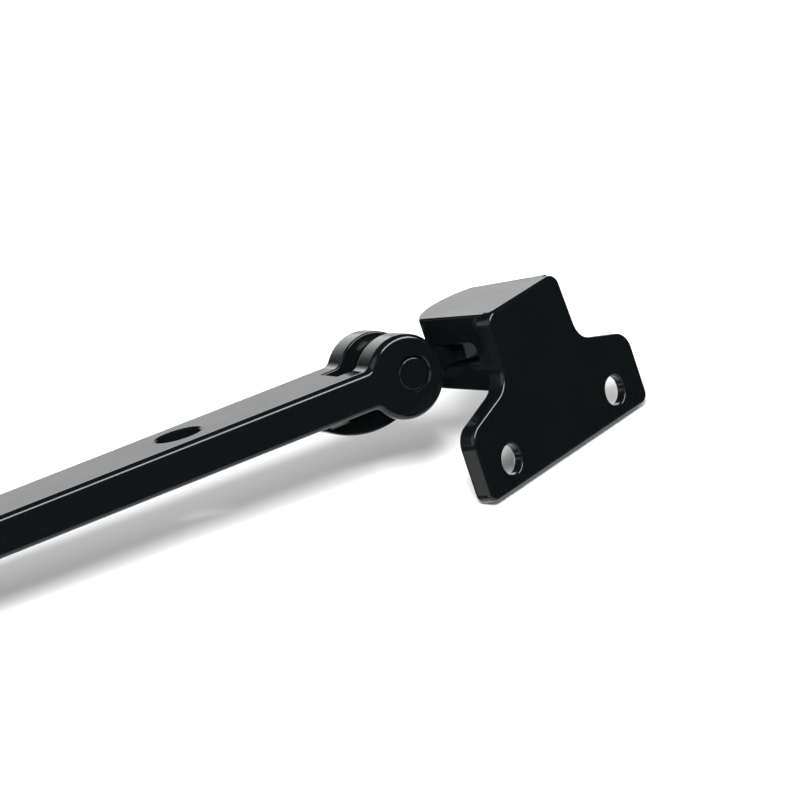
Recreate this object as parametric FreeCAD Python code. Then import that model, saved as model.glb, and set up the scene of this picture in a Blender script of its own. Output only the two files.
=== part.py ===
"""Casement window stay: a wall bracket, a swivelling knuckle and a long arm that lifts on a fork pin.

Millimetres, +Z up.  The origin is the centre of the two screw holes on the bracket's mounting face.
The mounting face lies in Y = 0 and faces -Y, the hood of the bracket reaches out towards +Y,
and the plate is long in X.  The arm is modelled along its own axes, then set at its rest angles.
"""
import FreeCAD, Part
import math
import os

# ---- bracket plate -------------------------------------------------------------------------------
PLATE_LENGTH = 40.0
PLATE_THICKNESS = 3.0
SCREW_SPACING = 26.4
SCREW_HOLE_RADIUS = 2.2
SCREW_HEAD_RADIUS = 3.95
SCREW_STRAIGHT_DEPTH = 1.4
SCREW_RIM_RADIUS = 0.35
SCREWS_ABOVE_BOTTOM = 4.25
TONGUE_TOP_WIDTH = 17.4
TONGUE_ROOT_WIDTH = 18.6
TONGUE_TOP = 20.6
SHOULDER_AT_TONGUE = 9.9
SHOULDER_AT_SIDE = 6.6
SHOULDER_RADIUS = 3.2
SHOULDER_HOLLOW_RADIUS = 3.6
TONGUE_CORNER_RADIUS = 1.9
PLATE_CORNER_RADIUS = 1.6
PLATE_BACK_EDGE_RADIUS = 0.6
PLATE_FRONT_EDGE_RADIUS = 0.6

# ---- bracket hood --------------------------------------------------------------------------------
HOOD_ROOT_WIDTH = 16.4
HOOD_END_WIDTH = 13.2
HOOD_CORNER_PAST_SWIVEL = 3.2
HOOD_BULGE = 2.7
HOOD_HEIGHT = 10.75
HOOD_UNDERSIDE_DROP = 1.55
HOOD_ROOF = 4.3
HOOD_FLOOR = 3.05
HOOD_ROOT_WALL = 1.9
HOOD_CORNER_RADIUS = 0.7
HOOD_TOP_EDGE_RADIUS = 0.35
HOOD_BOTTOM_EDGE_RADIUS = 0.4
POCKET_ROOT_RADIUS = 0.8
POCKET_MOUTH_RADIUS = 0.25

# ---- swivel --------------------------------------------------------------------------------------
SWIVEL_PIN_RADIUS = 2.4
SWIVEL_PIN_ROOF_DEPTH = 2.8
SWIVEL_CLEARANCE = 0.06
BARREL_RADIUS = 5.5
BARREL_END_CLEARANCE = 0.12
BARREL_BACK_CLEARANCE = 1.2
BARREL_EDGE_RADIUS = 0.35

# ---- knuckle -------------------------------------------------------------------------------------
FORK_TO_HOOD_GAP = 0.25
FORK_PIN_ABOVE_BARREL = 0.9
EYE_SIDE_CLEARANCE = 0.15
EYE_RADIUS = 4.6
BELLY_START = 5.0
BELLY_OVERLAP = 0.5
BELLY_LOWEST_REACH = 5.3
BELLY_BELOW_ARM = 3.9
HEEL_REACH = 13.7
HEEL_TIP_BELOW_ARM = 1.3
HEEL_NUB_LENGTH = 0.8
HEEL_GAP = 0.1
HEEL_RELIEF_DEPTH = 1.2
HEEL_RELIEF_LENGTH = 4.4
KNUCKLE_EDGE_RADIUS = 0.25
KNUCKLE_ROUNDED_RUN = 2.0

# ---- arm -----------------------------------------------------------------------------------------
ARM_WIDTH = 13.8
ARM_THICKNESS = 5.8
ARM_REACH = 236.0
FORK_SLOT_WIDTH = 4.9
FORK_SLOT_REACH = 9.6
LOBE_RADIUS = 6.25
LOBE_AHEAD_OF_PIN = 1.0
PIN_ABOVE_MIDDLE = 0.15
LOBE_HOLLOW_RADIUS = 1.4
ARM_EDGE_RADIUS = 0.9
SLOT_EDGE_RADIUS = 0.3
PEG_HOLE_RADIUS = 3.35
PEG_HOLE_FIRST = 35.25
PEG_HOLE_SPACING = 60.0
PEG_HOLE_COUNT = 3
PEG_HOLE_CHAMFER = 0.3

# ---- fork pin ------------------------------------------------------------------------------------
FORK_PIN_RADIUS = 2.4
FORK_PIN_EDGE_RADIUS = 0.3
FORK_SINK_WIDTH = 0.35
FORK_SINK_DEPTH = 0.4
FORK_SINK_OFFSET = 0.2
FORK_CLEARANCE = 0.06

# ---- rest angles ---------------------------------------------------------------------------------
REST_SWIVEL_DEG = 20.4
REST_LIFT_DEG = 3.2

# ---- sizes that follow from the ones above --------------------------------------------------------
PLATE_BOTTOM = -SCREWS_ABOVE_BOTTOM
HOOD_BOTTOM = TONGUE_TOP - HOOD_HEIGHT
POCKET_FLOOR = HOOD_BOTTOM + HOOD_FLOOR
POCKET_ROOF = TONGUE_TOP - HOOD_ROOF
POCKET_ROOT = PLATE_THICKNESS + HOOD_ROOT_WALL
SWIVEL_REACH = POCKET_ROOT + BARREL_BACK_CLEARANCE + BARREL_RADIUS
HOOD_CORNER_REACH = SWIVEL_REACH + HOOD_CORNER_PAST_SWIVEL
BARREL_BOTTOM = POCKET_FLOOR + BARREL_END_CLEARANCE
BARREL_TOP = POCKET_ROOF - BARREL_END_CLEARANCE
FORK_PIN_HEIGHT = (BARREL_BOTTOM + BARREL_TOP) / 2 + FORK_PIN_ABOVE_BARREL
SWIVEL_TO_FORK = HOOD_ROOT_WIDTH / 2 + FORK_TO_HOOD_GAP + LOBE_RADIUS
KNUCKLE_THICKNESS = FORK_SLOT_WIDTH - 2 * EYE_SIDE_CLEARANCE
ARM_UNDERSIDE = -PIN_ABOVE_MIDDLE - ARM_THICKNESS / 2


def at(x, y, z):
    return FreeCAD.Vector(x, y, z)


X_AXIS = at(1, 0, 0)
Y_AXIS = at(0, 1, 0)
Z_AXIS = at(0, 0, 1)


def prism(edges, depth):
    """A solid swept by the vector depth from a closed flat run of edges."""
    return Part.Face(Part.Wire(edges)).extrude(depth)


def polygon(points):
    """The straight edges that join the points and close on the first one."""
    return [Part.makeLine(a, b) for a, b in zip(points, points[1:] + points[:1])]


def is_along(edge, direction):
    """True for a straight edge that runs along the direction."""
    if not isinstance(edge.Curve, Part.Line):
        return False
    return abs(edge.tangentAt(edge.FirstParameter).dot(direction)) > 0.999


def lies_at(edge, axis, value):
    """True when the ends and the middle of the edge have the given coordinate on the axis (0, 1, 2)."""
    middle = edge.valueAt((edge.FirstParameter + edge.LastParameter) / 2)
    points = [vertex.Point for vertex in edge.Vertexes] + [middle]
    return all(abs(point[axis] - value) < 1e-4 for point in points)


# ---- bracket -------------------------------------------------------------------------------------

def plate_blank():
    """The flat plate: a wide foot with two screw holes and a narrower tongue that carries the hood."""
    side = PLATE_LENGTH / 2
    right = [
        (side, PLATE_BOTTOM, PLATE_CORNER_RADIUS),
        (side, SHOULDER_AT_SIDE, SHOULDER_RADIUS),
        (TONGUE_ROOT_WIDTH / 2, SHOULDER_AT_TONGUE, SHOULDER_HOLLOW_RADIUS),
        (TONGUE_TOP_WIDTH / 2, TONGUE_TOP, TONGUE_CORNER_RADIUS),
    ]
    left = [(-x, z, radius) for x, z, radius in reversed(right)]
    corners = right + left
    blank = prism(polygon([at(x, 0, z) for x, z, _ in corners]), at(0, PLATE_THICKNESS, 0))
    for x, z, radius in corners:
        edges = [e for e in blank.Edges if is_along(e, Y_AXIS) and lies_at(e, 0, x) and lies_at(e, 2, z)]
        blank = blank.makeFillet(radius, edges)
    back = [e for e in blank.Edges if lies_at(e, 1, 0)]
    blank = blank.makeFillet(PLATE_BACK_EDGE_RADIUS, back)
    front = [e for e in blank.Edges if lies_at(e, 1, PLATE_THICKNESS) and not lies_at(e, 2, TONGUE_TOP)]
    blank = blank.makeFillet(PLATE_FRONT_EDGE_RADIUS, front)
    for x in (-SCREW_SPACING / 2, SCREW_SPACING / 2):
        blank = blank.cut(screw_cutter(x))
    rims = [e for e in blank.Edges if isinstance(e.Curve, Part.Circle) and lies_at(e, 1, 0)]
    rims = [e for e in rims if abs(e.Curve.Radius - SCREW_HOLE_RADIUS) < 1e-4]
    return blank.makeFillet(SCREW_RIM_RADIUS, rims)


def screw_cutter(x):
    """A straight hole from the mounting face that opens into a countersink on the room side."""
    sink_depth = PLATE_THICKNESS - SCREW_STRAIGHT_DEPTH
    hole = Part.makeCylinder(SCREW_HOLE_RADIUS, PLATE_THICKNESS, at(x, 0, 0), Y_AXIS)
    bed = at(x, SCREW_STRAIGHT_DEPTH, 0)
    sink = Part.makeCone(SCREW_HOLE_RADIUS, SCREW_HEAD_RADIUS, sink_depth, bed, Y_AXIS)
    return hole.fuse(sink)


def hood_blank():
    """The solid hood: sides that close in a little towards a bowed front, and an underside that rises."""
    root = HOOD_ROOT_WIDTH / 2
    end = HOOD_END_WIDTH / 2
    start = PLATE_THICKNESS / 2
    front = HOOD_CORNER_REACH + HOOD_BULGE
    low = HOOD_BOTTOM - HOOD_UNDERSIDE_DROP
    sides = [at(-end, HOOD_CORNER_REACH, low), at(-root, start, low)]
    sides += [at(root, start, low), at(end, HOOD_CORNER_REACH, low)]
    bow = Part.Arc(sides[-1], at(0, front, low), sides[0]).toShape()
    lines = [Part.makeLine(a, b) for a, b in zip(sides, sides[1:])]
    hood = prism([bow] + lines, at(0, 0, HOOD_HEIGHT + HOOD_UNDERSIDE_DROP))
    wedge = [at(-PLATE_LENGTH, 0, low), at(-PLATE_LENGTH, front, HOOD_BOTTOM)]
    wedge += [at(-PLATE_LENGTH, 2 * front, HOOD_BOTTOM), at(-PLATE_LENGTH, 2 * front, low - 1)]
    wedge += [at(-PLATE_LENGTH, 0, low - 1)]
    hood = hood.cut(prism(polygon(wedge), at(2 * PLATE_LENGTH, 0, 0)))
    corners = [e for e in hood.Edges if is_along(e, Z_AXIS) and lies_at(e, 1, HOOD_CORNER_REACH)]
    hood = hood.makeFillet(HOOD_CORNER_RADIUS, corners)
    top = [e for e in hood.Edges if lies_at(e, 2, TONGUE_TOP) and not lies_at(e, 1, start)]
    hood = hood.makeFillet(HOOD_TOP_EDGE_RADIUS, top)
    underside = min(hood.Faces, key=lambda face: face.CenterOfMass.z)
    bottom = [e for e in underside.Edges if not lies_at(e, 1, start)]
    return hood.makeFillet(HOOD_BOTTOM_EDGE_RADIUS, bottom)


def pocket_cutter():
    """The slot in the hood that is open on both sides and at the front, for the knuckle's barrel."""
    depth = HOOD_CORNER_REACH + 2 * HOOD_BULGE - POCKET_ROOT
    pocket = Part.makeBox(
        PLATE_LENGTH, depth, POCKET_ROOF - POCKET_FLOOR, at(-PLATE_LENGTH / 2, POCKET_ROOT, POCKET_FLOOR)
    )
    root = [e for e in pocket.Edges if is_along(e, X_AXIS) and lies_at(e, 1, POCKET_ROOT)]
    return pocket.makeFillet(POCKET_ROOT_RADIUS, root)


def swivel_pin():
    """The upright pin, pressed in from below until its end is just inside the hood's underside."""
    height = POCKET_ROOF + SWIVEL_PIN_ROOF_DEPTH - HOOD_BOTTOM
    return Part.makeCylinder(SWIVEL_PIN_RADIUS, height, at(0, SWIVEL_REACH, HOOD_BOTTOM))


def swivel_bore():
    """The bore for the swivel pin, open below and blind in the roof."""
    depth = POCKET_ROOF + SWIVEL_PIN_ROOF_DEPTH - PLATE_BOTTOM
    return Part.makeCylinder(SWIVEL_PIN_RADIUS, depth, at(0, SWIVEL_REACH, PLATE_BOTTOM))


def hood():
    """The hood with its pocket, and the pocket's mouth rounded all the way round."""
    body = hood_blank().cut(pocket_cutter())
    mouth = []
    for edge in body.Edges:
        heights = [vertex.Z for vertex in edge.Vertexes]
        in_pocket = min(heights) > POCKET_FLOOR - 1e-4 and max(heights) < POCKET_ROOF + 1e-4
        if in_pocket and not is_along(edge, X_AXIS):
            mouth.append(edge)
    return body.makeFillet(POCKET_MOUTH_RADIUS, mouth)


def bracket():
    """The casting: plate and hood in one piece, bored for the swivel pin."""
    return plate_blank().fuse(hood()).cut(swivel_bore()).removeSplitter()


# ---- knuckle, drawn with the arm's fork pin at the origin, x out along the arm, z up ----------------

def knuckle_neck():
    """The eye on the fork pin and the neck, as low as the barrel until it is clear of the hood."""
    low = BARREL_BOTTOM - FORK_PIN_HEIGHT
    high = BARREL_TOP - FORK_PIN_HEIGHT
    flare = HOOD_ROOT_WIDTH / 2 - SWIVEL_TO_FORK
    half = KNUCKLE_THICKNESS / 2
    eye = Part.makeCylinder(EYE_RADIUS, KNUCKLE_THICKNESS, at(0, -half, 0), Y_AXIS)
    lean = math.radians(50)
    eye_side = -EYE_RADIUS * math.cos(lean)
    eye_rise = EYE_RADIUS * math.sin(lean)
    neck = [(-SWIVEL_TO_FORK, low), (0, low), (0, 0)]
    neck += [(eye_side, eye_rise), (flare, high), (-SWIVEL_TO_FORK, high)]
    return eye.fuse(prism(polygon([at(x, -half, z) for x, z in neck]), at(0, KNUCKLE_THICKNESS, 0)))


def knuckle_heel():
    """The bowed belly under the fork.  Its nub stops the arm from dropping below its rest angle."""
    half = KNUCKLE_THICKNESS / 2
    top = ARM_UNDERSIDE - HEEL_GAP
    nub = HEEL_REACH - HEEL_NUB_LENGTH
    relief = top - HEEL_RELIEF_DEPTH
    start = at(-BELLY_START, -half, BARREL_BOTTOM - FORK_PIN_HEIGHT + BELLY_OVERLAP)
    lowest = at(BELLY_LOWEST_REACH, -half, ARM_UNDERSIDE - BELLY_BELOW_ARM)
    tip = at(HEEL_REACH, -half, ARM_UNDERSIDE - HEEL_TIP_BELOW_ARM)
    belly = Part.Arc(start, lowest, tip).toShape()
    upper = [(HEEL_REACH, top), (nub, top), (nub - HEEL_GAP, relief), (nub - HEEL_RELIEF_LENGTH, relief)]
    upper += [(nub - HEEL_RELIEF_LENGTH - HEEL_RELIEF_DEPTH, top)]
    run = [tip] + [at(x, -half, z) for x, z in upper] + [start]
    lines = [Part.makeLine(a, b) for a, b in zip(run, run[1:])]
    return prism([belly] + lines, at(0, KNUCKLE_THICKNESS, 0))


def is_long_outline(edge):
    """True for the blade's long edges on either flat side, apart from the rims of the fork pin's bore."""
    half = KNUCKLE_THICKNESS / 2
    if not lies_at(edge, 1, half) and not lies_at(edge, 1, -half):
        return False
    round_the_pin = isinstance(edge.Curve, Part.Circle) and edge.Curve.Radius < EYE_RADIUS - 1e-4
    return edge.Length > KNUCKLE_ROUNDED_RUN and not round_the_pin


def knuckle_blade():
    """The flat part of the knuckle: neck, eye and heel, with the heel set at the arm's rest angle."""
    heel = knuckle_heel()
    heel.rotate(at(0, 0, 0), Y_AXIS, -REST_LIFT_DEG)
    bore_radius = FORK_PIN_RADIUS + FORK_CLEARANCE
    bore_start = at(0, -KNUCKLE_THICKNESS / 2, 0)
    bore = Part.makeCylinder(bore_radius, KNUCKLE_THICKNESS, bore_start, Y_AXIS)
    blade = knuckle_neck().fuse(heel).removeSplitter().cut(bore)
    return blade.makeFillet(KNUCKLE_EDGE_RADIUS, [e for e in blade.Edges if is_long_outline(e)])


def knuckle():
    """One casting: the blade, and the barrel that turns on the swivel pin."""
    foot = at(-SWIVEL_TO_FORK, 0, BARREL_BOTTOM - FORK_PIN_HEIGHT)
    barrel = Part.makeCylinder(BARREL_RADIUS, BARREL_TOP - BARREL_BOTTOM, foot)
    rims = [e for e in barrel.Edges if isinstance(e.Curve, Part.Circle)]
    barrel = barrel.makeFillet(BARREL_EDGE_RADIUS, rims)
    bore = Part.makeCylinder(SWIVEL_PIN_RADIUS + SWIVEL_CLEARANCE, BARREL_TOP - BARREL_BOTTOM, foot)
    return knuckle_blade().fuse(barrel).removeSplitter().cut(bore)


# ---- arm, drawn with the fork pin at the origin, x out along the arm, z up -----------------------------

def arm_blank():
    """The bar with its two lobes still in one piece, rounded along every outer edge."""
    half_width = ARM_WIDTH / 2
    bar_start = at(LOBE_AHEAD_OF_PIN, -half_width, ARM_UNDERSIDE)
    bar = Part.makeBox(ARM_REACH - LOBE_AHEAD_OF_PIN, ARM_WIDTH, ARM_THICKNESS, bar_start)
    lobe_start = at(LOBE_AHEAD_OF_PIN, -half_width, -PIN_ABOVE_MIDDLE)
    lobes = Part.makeCylinder(LOBE_RADIUS, ARM_WIDTH, lobe_start, Y_AXIS)
    blank = bar.fuse(lobes).removeSplitter()
    meet = LOBE_AHEAD_OF_PIN + math.sqrt(LOBE_RADIUS ** 2 - (ARM_THICKNESS / 2) ** 2)
    hollows = [e for e in blank.Edges if is_along(e, Y_AXIS) and lies_at(e, 0, meet)]
    blank = blank.makeFillet(LOBE_HOLLOW_RADIUS, hollows)
    tip = [e for e in blank.Edges if is_along(e, Z_AXIS) and lies_at(e, 0, ARM_REACH)]
    blank = blank.makeFillet(half_width - 0.01, tip)
    sides = [e for e in blank.Edges if lies_at(e, 1, half_width) or lies_at(e, 1, -half_width)]
    return blank.makeFillet(ARM_EDGE_RADIUS, sides)


def peg_hole_cutter(x):
    """A through hole for the stay peg, with a light chamfer at both mouths."""
    wide = PEG_HOLE_RADIUS + PEG_HOLE_CHAMFER
    top_chamfer = ARM_UNDERSIDE + ARM_THICKNESS - PEG_HOLE_CHAMFER
    hole = Part.makeCylinder(PEG_HOLE_RADIUS, ARM_THICKNESS, at(x, 0, ARM_UNDERSIDE))
    top = Part.makeCone(PEG_HOLE_RADIUS, wide, PEG_HOLE_CHAMFER, at(x, 0, top_chamfer))
    bottom = Part.makeCone(wide, PEG_HOLE_RADIUS, PEG_HOLE_CHAMFER, at(x, 0, ARM_UNDERSIDE))
    return hole.fuse(top).fuse(bottom)


def fork_pin():
    """The riveted pin through both cheeks, level with each."""
    pin = Part.makeCylinder(FORK_PIN_RADIUS, ARM_WIDTH, at(0, -ARM_WIDTH / 2, 0), Y_AXIS)
    rims = [e for e in pin.Edges if isinstance(e.Curve, Part.Circle)]
    return pin.makeFillet(FORK_PIN_EDGE_RADIUS, rims)


def fork_sink_cutter(side):
    """A shallow dished ring round one end of the fork pin, widest on the side away from the bar."""
    face = side * ARM_WIDTH / 2
    centre = at(-FORK_SINK_OFFSET, face, 0)
    mouth = FORK_PIN_RADIUS + FORK_SINK_WIDTH
    return Part.makeCone(mouth, FORK_PIN_RADIUS, FORK_SINK_DEPTH, centre, at(0, -side, 0))


def arm():
    depth = 2 * LOBE_RADIUS
    slot = Part.makeBox(
        FORK_SLOT_REACH + depth, FORK_SLOT_WIDTH, 2 * depth, at(-depth, -FORK_SLOT_WIDTH / 2, -depth)
    )
    body = arm_blank().cut(slot)
    half = FORK_SLOT_WIDTH / 2
    walls = [e for e in body.Edges if lies_at(e, 1, half) or lies_at(e, 1, -half)]
    rims = [e for e in walls if not is_along(e, Z_AXIS)]
    rims += [e for e in body.Edges if lies_at(e, 0, FORK_SLOT_REACH) and is_along(e, Y_AXIS)]
    body = body.makeFillet(SLOT_EDGE_RADIUS, rims)
    body = body.cut(Part.makeCylinder(FORK_PIN_RADIUS, ARM_WIDTH, at(0, -ARM_WIDTH / 2, 0), Y_AXIS))
    for side in (-1, 1):
        body = body.cut(fork_sink_cutter(side))
    for index in range(PEG_HOLE_COUNT):
        body = body.cut(peg_hole_cutter(PEG_HOLE_FIRST + index * PEG_HOLE_SPACING))
    return body


# ---- placing and writing ----------------------------------------------------------------------------

def set_at_rest(shape, lift_deg):
    """Lift a piece about the fork pin, then swing it round the swivel pin to its rest direction."""
    shape.rotate(at(0, 0, 0), Y_AXIS, -lift_deg)
    shape.translate(at(SWIVEL_TO_FORK, 0, FORK_PIN_HEIGHT))
    shape.rotate(at(0, 0, 0), Z_AXIS, 180 - REST_SWIVEL_DEG)
    shape.translate(at(0, SWIVEL_REACH, 0))
    return shape


def main():
    os.makedirs("parts", exist_ok=True)
    pieces = {
        "bracket": bracket(),
        "swivel_pin": swivel_pin(),
        "knuckle": set_at_rest(knuckle(), 0),
        "fork_pin": set_at_rest(fork_pin(), REST_LIFT_DEG),
        "arm": set_at_rest(arm(), REST_LIFT_DEG),
    }
    for name, shape in pieces.items():
        shape.exportStep("parts/" + name + ".step")
        print(name, len(shape.Solids), round(shape.Volume, 1), shape.isValid())


main()
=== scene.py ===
import bpy
import math
from mathutils import Matrix, Vector


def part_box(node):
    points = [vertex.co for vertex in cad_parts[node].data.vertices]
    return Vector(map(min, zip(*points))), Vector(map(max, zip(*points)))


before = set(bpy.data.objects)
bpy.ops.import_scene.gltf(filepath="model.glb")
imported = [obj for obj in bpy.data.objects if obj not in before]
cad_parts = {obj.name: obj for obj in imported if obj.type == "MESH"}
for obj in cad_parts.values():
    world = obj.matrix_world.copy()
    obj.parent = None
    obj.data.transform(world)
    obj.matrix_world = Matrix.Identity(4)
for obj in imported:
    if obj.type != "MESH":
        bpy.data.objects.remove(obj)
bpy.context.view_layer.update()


# ---- Black coated castings: bracket, knuckle and arm -----------------------------------------------
# Malleable iron castings, fettled and then sprayed with a semi-gloss black powder coat.
# The film flows out in a very fine orange peel, pools in the hollows and carries a few dust nibs.

NIB_RADIUS = 0.055
NIB_FREE_SHARE = 0.72
RIPPLE_WEIGHT = 2.2
PEEL_WEIGHT = 0.22
NIB_WEIGHT = 0.55
CASTING_BUMP = 0.000018
COAT_BLACK = (0.0021, 0.0031, 0.0034, 1.0)
COAT_GREY = (0.0034, 0.0047, 0.0052, 1.0)


def group_with(name, inputs, outputs):
    """An empty shader node group with the named sockets, and its two end nodes."""
    tree = bpy.data.node_groups.new(name, "ShaderNodeTree")
    for label, kind, value in inputs:
        socket = tree.interface.new_socket(name=label, in_out="INPUT", socket_type=kind)
        socket.default_value = value
    for label, kind in outputs:
        tree.interface.new_socket(name=label, in_out="OUTPUT", socket_type=kind)
    return tree, tree.nodes.new("NodeGroupInput"), tree.nodes.new("NodeGroupOutput")


def make_powder_film():
    """The surface of a sprayed film: orange peel, casting ripple under it and sparse dust nibs."""
    tree, given, result = group_with(
        "powder_film",
        [
            ("Vector", "NodeSocketVector", (0, 0, 0)),
            ("Peel Scale", "NodeSocketFloat", 900.0),
            ("Ripple Scale", "NodeSocketFloat", 110.0),
            ("Nib Scale", "NodeSocketFloat", 170.0),
        ],
        [("Height", "NodeSocketFloat"), ("Gloss Variation", "NodeSocketFloat"), ("Nibs", "NodeSocketFloat")],
    )
    link = tree.links.new
    peel = tree.nodes.new("ShaderNodeTexNoise")
    peel.inputs["Detail"].default_value = 1.5
    link(given.outputs["Vector"], peel.inputs["Vector"])
    link(given.outputs["Peel Scale"], peel.inputs["Scale"])
    ripple = tree.nodes.new("ShaderNodeTexNoise")
    ripple.inputs["Detail"].default_value = 2.0
    link(given.outputs["Vector"], ripple.inputs["Vector"])
    link(given.outputs["Ripple Scale"], ripple.inputs["Scale"])
    cells = tree.nodes.new("ShaderNodeTexVoronoi")
    cells.feature = "F1"
    link(given.outputs["Vector"], cells.inputs["Vector"])
    link(given.outputs["Nib Scale"], cells.inputs["Scale"])
    dome = tree.nodes.new("ShaderNodeMapRange")
    dome.inputs["From Min"].default_value = 0.0
    dome.inputs["From Max"].default_value = NIB_RADIUS
    dome.inputs["To Min"].default_value = 1.0
    dome.inputs["To Max"].default_value = 0.0
    link(cells.outputs["Distance"], dome.inputs["Value"])
    chosen = tree.nodes.new("ShaderNodeMath")
    chosen.operation = "GREATER_THAN"
    chosen.inputs[1].default_value = NIB_FREE_SHARE
    tint = tree.nodes.new("ShaderNodeSeparateColor")
    link(cells.outputs["Color"], tint.inputs["Color"])
    link(tint.outputs["Red"], chosen.inputs[0])
    nibs = tree.nodes.new("ShaderNodeMath")
    nibs.operation = "MULTIPLY"
    link(dome.outputs["Result"], nibs.inputs[0])
    link(chosen.outputs["Value"], nibs.inputs[1])
    ripple_height = tree.nodes.new("ShaderNodeMath")
    ripple_height.operation = "MULTIPLY"
    ripple_height.inputs[1].default_value = RIPPLE_WEIGHT
    link(ripple.outputs["Fac"], ripple_height.inputs[0])
    peel_height = tree.nodes.new("ShaderNodeMath")
    peel_height.operation = "MULTIPLY_ADD"
    peel_height.inputs[1].default_value = PEEL_WEIGHT
    link(peel.outputs["Fac"], peel_height.inputs[0])
    link(ripple_height.outputs["Value"], peel_height.inputs[2])
    total = tree.nodes.new("ShaderNodeMath")
    total.operation = "MULTIPLY_ADD"
    total.inputs[1].default_value = NIB_WEIGHT
    link(nibs.outputs["Value"], total.inputs[0])
    link(peel_height.outputs["Value"], total.inputs[2])
    link(total.outputs["Value"], result.inputs["Height"])
    link(ripple.outputs["Fac"], result.inputs["Gloss Variation"])
    link(nibs.outputs["Value"], result.inputs["Nibs"])
    return tree


powder_film = make_powder_film()


def powder_coat(name, roughness_low, roughness_high, bump_distance):
    """Semi-gloss black: a dark body colour under a clear, slightly uneven skin."""
    material = bpy.data.materials.new(name)
    material.use_nodes = True
    tree = material.node_tree
    link = tree.links.new
    shader = tree.nodes["Principled BSDF"]
    shader.inputs["Metallic"].default_value = 0.0
    shader.inputs["IOR"].default_value = 1.5
    shader.inputs["Specular IOR Level"].default_value = 0.5
    place = tree.nodes.new("ShaderNodeTexCoord")
    film = tree.nodes.new("ShaderNodeGroup")
    film.node_tree = powder_film
    link(place.outputs["Object"], film.inputs["Vector"])
    colour = tree.nodes.new("ShaderNodeMix")
    colour.data_type = "RGBA"
    colour.inputs["A"].default_value = COAT_BLACK
    colour.inputs["B"].default_value = COAT_GREY
    link(film.outputs["Gloss Variation"], colour.inputs["Factor"])
    link(colour.outputs["Result"], shader.inputs["Base Color"])
    gloss = tree.nodes.new("ShaderNodeMapRange")
    gloss.inputs["From Min"].default_value = 0.3
    gloss.inputs["From Max"].default_value = 0.7
    gloss.inputs["To Min"].default_value = roughness_low
    gloss.inputs["To Max"].default_value = roughness_high
    link(film.outputs["Gloss Variation"], gloss.inputs["Value"])
    link(gloss.outputs["Result"], shader.inputs["Roughness"])
    bump = tree.nodes.new("ShaderNodeBump")
    bump.inputs["Distance"].default_value = bump_distance
    bump.inputs["Strength"].default_value = 1.0
    link(film.outputs["Height"], bump.inputs["Height"])
    link(bump.outputs["Normal"], shader.inputs["Normal"])
    return material


def dress(node, material):
    """Gives a carried-over piece its finish."""
    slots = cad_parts[node].material_slots
    for slot in slots:
        slot.material = material


casting_coat = powder_coat("casting_coat", 0.10, 0.15, CASTING_BUMP)
for casting in ("bracket", "knuckle", "arm"):
    dress(casting, casting_coat)


# ---- Riveted pins ------------------------------------------------------------------------------------
# Mild steel pins, riveted over before the spraying, so they wear the same black film.
# The film on them is a little smoother than on the castings.

PIN_BUMP = 0.000015

pin_coat = powder_coat("pin_coat", 0.09, 0.14, PIN_BUMP)
for pin in ("swivel_pin", "fork_pin"):
    dress(pin, pin_coat)


# ---- Table -------------------------------------------------------------------------------------------
# A plain white table top, wide enough that its edge stays out of sight.  The stay lies on it, so the
# bracket leans: the table rises behind the long bottom edge of the plate and stays just under the arm.
# From below the table can't be seen, and its mirror image in the black coat is left to the room.

TABLE_SIZE = 3.0
TABLE_LEAN = math.radians(16)
TABLE_WHITE = (0.86, 0.86, 0.855, 1.0)
PLATE_THICKNESS = 0.003
plate_foot = Vector((0, PLATE_THICKNESS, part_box("bracket")[0][2]))

bpy.ops.mesh.primitive_plane_add(size=TABLE_SIZE, location=plate_foot, rotation=(TABLE_LEAN, 0, 0))
table = bpy.context.object
table.name = "table_top"
paper = bpy.data.materials.new("white_paper")
paper.use_nodes = True
sheet = paper.node_tree.nodes["Principled BSDF"]
sheet.inputs["Base Color"].default_value = TABLE_WHITE
sheet.inputs["Roughness"].default_value = 0.7
sheet.inputs["Specular IOR Level"].default_value = 0.0
underneath = paper.node_tree.nodes.new("ShaderNodeNewGeometry")
shown = paper.node_tree.nodes.new("ShaderNodeMath")
shown.operation = "SUBTRACT"
shown.inputs[0].default_value = 1.0
paper.node_tree.links.new(underneath.outputs["Backfacing"], shown.inputs[1])
paper.node_tree.links.new(shown.outputs["Value"], sheet.inputs["Alpha"])
table.data.materials.append(paper)
table.visible_glossy = False


# ---- Light -------------------------------------------------------------------------------------------
# A far softbox, high on the viewer's side, throws the shadow on the table.  A long strip in front of the
# mounting face only shows as a reflection.  The mirrored room is dark, apart from a white backdrop behind
# the bracket, the white table top below and beside it, and a light wall on the left.

KEY_TOWARDS = (-0.548, -0.522, 0.654)
KEY_DISTANCE = 2.5
KEY_SIZE = (0.95, 0.95)
KEY_POWER = 98.0
STRIP_PLACE = (0.16, -0.72, 0.42)
STRIP_SIZE = (0.80, 0.30)
STRIP_POWER = 8.0
FILL = 0.78
BACKDROP_LOW_GLOW = 0.88
BACKDROP_HIGH_GLOW = 2.2
TABLE_GLOW = 0.95
WALL_GLOW = 0.85
ROOM_GLOW = 0.006


def softbox(name, place, size, power):
    """A rectangular light that faces the object."""
    data = bpy.data.lights.new(name, "AREA")
    data.shape = "RECTANGLE"
    data.size, data.size_y = size
    data.energy = power
    light = bpy.data.objects.new(name, data)
    light.location = place
    light.rotation_euler = (-Vector(place)).to_track_quat("-Z", "Y").to_euler()
    bpy.context.scene.collection.objects.link(light)
    return light


key = softbox("key_softbox", Vector(KEY_TOWARDS) * KEY_DISTANCE, KEY_SIZE, KEY_POWER)
key.visible_glossy = False
edge_strip = softbox("edge_strip", Vector(STRIP_PLACE), STRIP_SIZE, STRIP_POWER)
edge_strip.visible_diffuse = False

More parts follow.
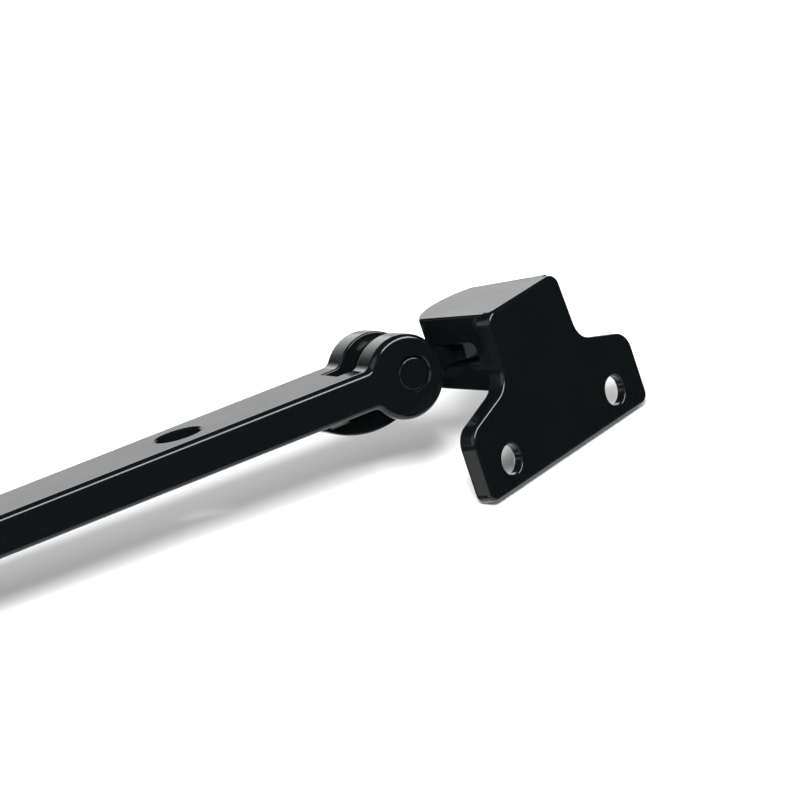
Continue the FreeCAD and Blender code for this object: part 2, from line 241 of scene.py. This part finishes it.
world = bpy.data.worlds.new("studio")
world.use_nodes = True
bpy.context.scene.world = world
sky = world.node_tree


def ramp(value, low, high, out_low, out_high):
    """A smooth step from out_low to out_high as the value goes from low to high."""
    step = sky.nodes.new("ShaderNodeMapRange")
    step.interpolation_type = "SMOOTHSTEP"
    for socket, number in zip(("From Min", "From Max", "To Min", "To Max"), (low, high, out_low, out_high)):
        step.inputs[socket].default_value = number
    sky.links.new(value, step.inputs["Value"])
    return step.outputs["Result"]


def combine(operation, first, second):
    """One maths step on two values, each a socket or a number."""
    step = sky.nodes.new("ShaderNodeMath")
    step.operation = operation
    for socket, value in zip(step.inputs, (first, second)):
        if isinstance(value, float):
            socket.default_value = value
        else:
            sky.links.new(value, socket)
    return step.outputs["Value"]


direction = sky.nodes.new("ShaderNodeTexCoord")
parts = sky.nodes.new("ShaderNodeSeparateXYZ")
sky.links.new(direction.outputs["Generated"], parts.inputs["Vector"])
behind = ramp(parts.outputs["Y"], 0.05, 0.55, 0.0, 1.0)
brightness = ramp(parts.outputs["Z"], 0.19, 0.28, BACKDROP_LOW_GLOW, BACKDROP_HIGH_GLOW)
low_enough = combine("MULTIPLY", ramp(parts.outputs["Z"], 0.42, 0.62, 1.0, 0.0), brightness)
to_the_right = ramp(parts.outputs["X"], 0.00, 0.45, 0.0, 1.0)
backdrop = combine("MULTIPLY", combine("MULTIPLY", behind, low_enough), to_the_right)
below = ramp(parts.outputs["Z"], -0.80, -0.50, TABLE_GLOW, 0.0)
to_the_left = ramp(parts.outputs["X"], -0.73, -0.60, TABLE_GLOW, 0.0)
downward = ramp(parts.outputs["Z"], -0.24, -0.14, 1.0, 0.0)
table_glow = combine("MAXIMUM", below, combine("MULTIPLY", to_the_left, downward))
wall_side = ramp(parts.outputs["X"], -0.60, -0.45, WALL_GLOW, 0.0)
wall_glow = combine("MULTIPLY", wall_side, ramp(parts.outputs["Z"], 0.05, 0.20, 0.0, 1.0))
surroundings = combine("MAXIMUM", combine("MAXIMUM", backdrop, table_glow), wall_glow)
mirrored = combine("ADD", surroundings, ROOM_GLOW)

rays = sky.nodes.new("ShaderNodeLightPath")
plain = combine("MAXIMUM", rays.outputs["Is Camera Ray"], FILL)
seen = sky.nodes.new("ShaderNodeMix")
sky.links.new(rays.outputs["Is Glossy Ray"], seen.inputs["Factor"])
sky.links.new(plain, seen.inputs["A"])
sky.links.new(mirrored, seen.inputs["B"])
sky.links.new(seen.outputs["Result"], sky.nodes["Background"].inputs["Strength"])
sky.nodes["Background"].inputs["Color"].default_value = (1, 1, 1, 1)
bpy.context.scene.view_settings.view_transform = "Standard"


# ---- Camera ------------------------------------------------------------------------------------------
# A long lens from the mounting side, rolled so that the leaning table is nearer to level in the view.

CAMERA_PLACE = Vector((-0.4993, -0.4380, 0.1686))
CAMERA_RIGHT = Vector((0.5940, -0.7420, -0.3108))
CAMERA_UP = Vector((0.3778, -0.0838, 0.9221))
CAMERA_LENS = 211.5

camera_data = bpy.data.cameras.new("camera")
camera_data.lens = CAMERA_LENS
camera_data.sensor_width = 36.0
camera_data.clip_start = 0.01
camera_data.clip_end = 20.0
camera = bpy.data.objects.new("camera", camera_data)
bpy.context.scene.collection.objects.link(camera)
backward = CAMERA_RIGHT.cross(CAMERA_UP).normalized()
upward = backward.cross(CAMERA_RIGHT).normalized()
camera.matrix_world = Matrix.Translation(CAMERA_PLACE) @ Matrix(
    (CAMERA_RIGHT.normalized(), upward, backward)
).transposed().to_4x4()
bpy.context.scene.camera = camera
